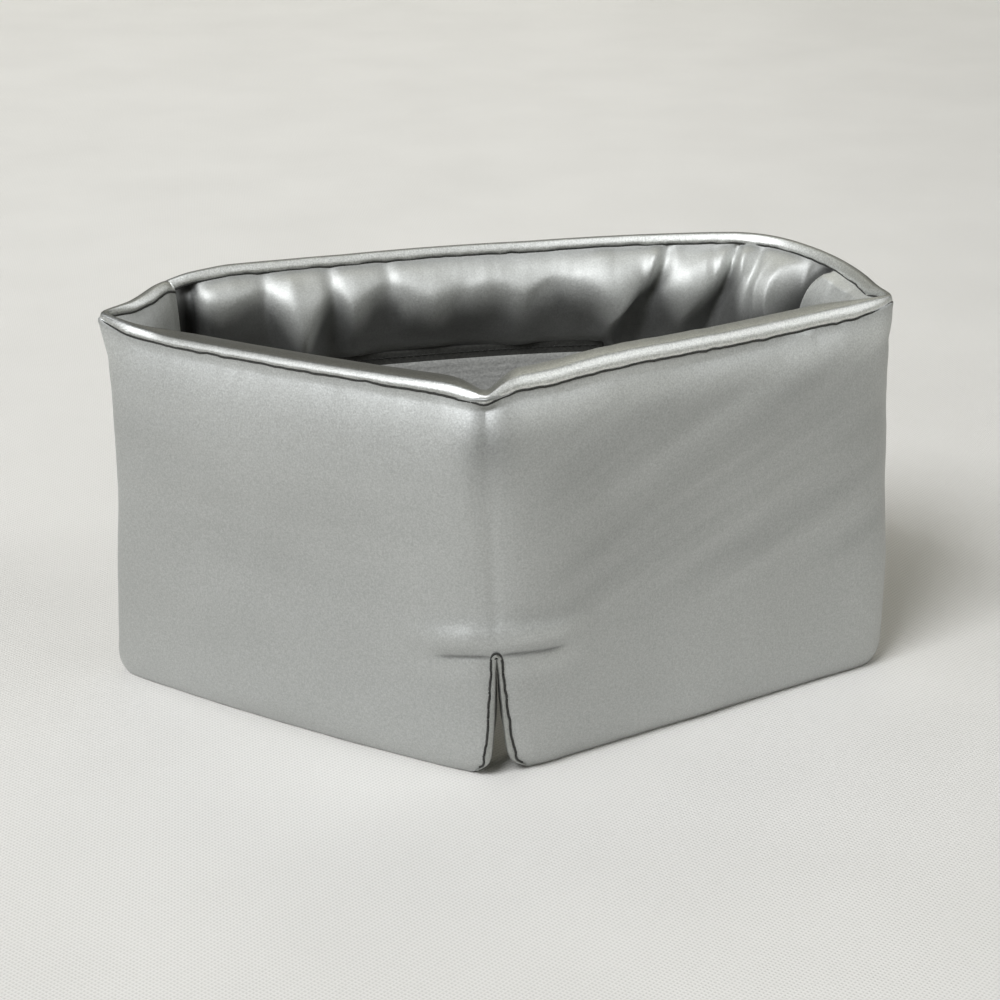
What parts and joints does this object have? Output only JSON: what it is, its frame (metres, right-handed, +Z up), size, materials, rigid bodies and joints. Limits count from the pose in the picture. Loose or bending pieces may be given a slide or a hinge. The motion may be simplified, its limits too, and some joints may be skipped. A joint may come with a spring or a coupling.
{
  "type": "sleep eye mask",
  "caption": "Wrap-around padded satin sleep mask closed into a ring, with a bound nose slit in the front and a hook-and-loop closure at the left.",
  "frame": {"origin": "bottom centre of the closed ring, on the surface it stands on", "axes": "+Z up, -Y the front with the nose slit, +X to the right as seen from the front"},
  "size_m": [0.2319, 0.1403, 0.118],
  "materials": {
    "satin_shell": "satin",
    "satin_lining": "satin",
    "satin_binding": "satin",
    "padding_fill": "matte",
    "hook_tape": "matte",
    "loop_tape": "matte",
    "thread": "matte"
  },
  "bodies": {
    "front_left": {"outer_shell_front_left": "satin_shell", "padding_front_left": "padding_fill", "lining_front_left": "satin_lining", "rim_binding_front_left": "satin_binding", "slit_binding_left": "satin_binding"},
    "front_right": {"outer_shell_front_right": "satin_shell", "padding_front_right": "padding_fill", "lining_front_right": "satin_lining", "rim_binding_front_right": "satin_binding", "slit_binding_right": "satin_binding"},
    "right_side": {"outer_shell_side": "satin_shell", "padding_side": "padding_fill", "lining_side": "satin_lining", "rim_binding_side": "satin_binding"},
    "back_strap": {"outer_shell_back": "satin_shell", "padding_back": "padding_fill", "lining_back": "satin_lining", "rim_binding_back": "satin_binding", "loop_tape_back": "loop_tape", "loop_tape_stitching": "thread"},
    "strap_tab": {"outer_shell_tab": "satin_shell", "padding_tab": "padding_fill", "lining_tab": "satin_lining", "rim_binding_tab": "satin_binding", "loop_tape_tab": "loop_tape"},
    "left_end": {"outer_shell_end": "satin_shell", "padding_end": "padding_fill", "lining_end": "satin_lining", "rim_binding_end": "satin_binding", "hook_tape": "hook_tape"}
  },
  "joints": [
    {"name": "nose_fold", "type": "hinge", "parent": "front_left", "child": "front_right", "pos_m": [-0.0031, -0.0702, 0], "axis": [0, 0, -1], "range_deg": [0, 62]},
    {"name": "right_front_fold", "type": "hinge", "parent": "front_right", "child": "right_side", "pos_m": [0.11647, 0.00452, 0], "axis": [0, 0, -1], "range_deg": [0, 83]},
    {"name": "right_back_fold", "type": "hinge", "parent": "right_side", "child": "back_strap", "pos_m": [0.08605, 0.06977, 0], "axis": [0, 0, -1], "range_deg": [0, 62]},
    {"name": "closure_peel", "type": "hinge", "parent": "back_strap", "child": "strap_tab", "pos_m": [-0.10364, 0.02768, 0], "axis": [0, 0, -1], "range_deg": [0, 100]},
    {"name": "left_front_fold", "type": "hinge", "parent": "front_left", "child": "left_end", "pos_m": [-0.11568, -0.0052, 0], "axis": [0, 0, 1], "range_deg": [0, 94]}
  ],
  "couplings": [
    {"joint": "right_front_fold", "follows": "nose_fold", "ratio": 1.3386},
    {"joint": "right_back_fold", "follows": "nose_fold", "ratio": 1},
    {"joint": "left_front_fold", "follows": "nose_fold", "ratio": 1.516}
  ]
}
